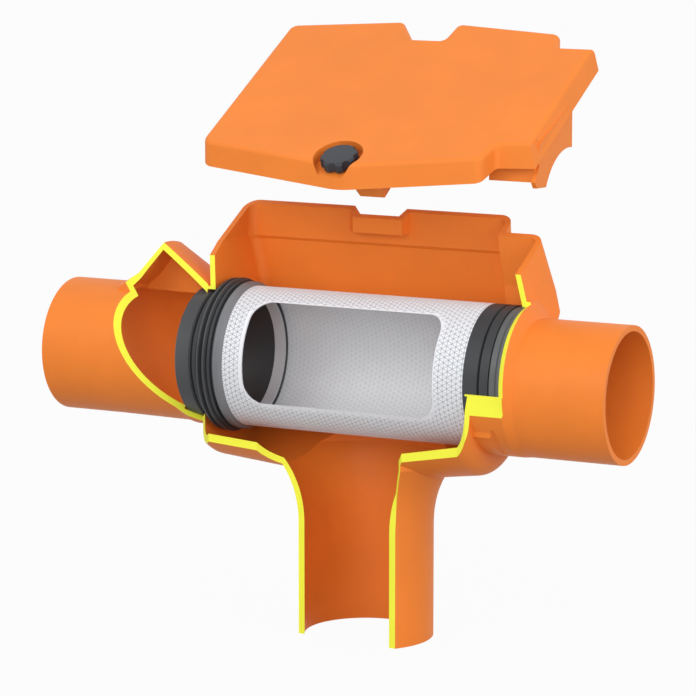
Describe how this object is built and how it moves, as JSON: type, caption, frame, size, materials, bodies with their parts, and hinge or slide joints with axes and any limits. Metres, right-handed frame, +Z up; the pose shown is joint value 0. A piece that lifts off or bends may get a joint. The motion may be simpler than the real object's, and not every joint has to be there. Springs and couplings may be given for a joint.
{
  "type": "rainwater tank filter",
  "caption": "Cut-away inline leaf filter for rainwater pipes, with a perforated filter tube inside an open housing and its sloping lid lifted off above it.",
  "frame": {"origin": "centre of the downpipe's lower end", "axes": "+X from the inlet to the outlet, +Y to the uncut back, +Z up"},
  "size_m": [0.498, 0.2287, 0.4853],
  "materials": {
    "housing": "satin",
    "lid": "satin",
    "knob": "matte",
    "mesh": "perforated",
    "collar": "satin",
    "seal": "matte",
    "band": "satin"
  },
  "bodies": {
    "filter": {"housing": "housing", "lid": "lid", "mesh_sleeve": "mesh", "inlet_collar": "collar", "inlet_inner_ring": "band", "inlet_seal": "seal", "inlet_lip_ring_outer": "seal", "inlet_lip_ring_inner": "seal", "inlet_clamp_band": "band", "outlet_collar": "collar", "outlet_seal": "seal", "outlet_lip_ring": "seal", "outlet_clamp_band": "band"},
    "knob": {"lid_knob": "knob", "knob_washer": "seal", "knob_spindle": "knob", "lock_cam": "knob"}
  },
  "joints": [
    {"name": "knob_turn", "type": "hinge", "parent": "filter", "child": "knob", "pos_m": [-0.016, -0.018, 0.39457], "axis": [0, -0.454, 0.891], "range_deg": [0, 90]}
  ]
}
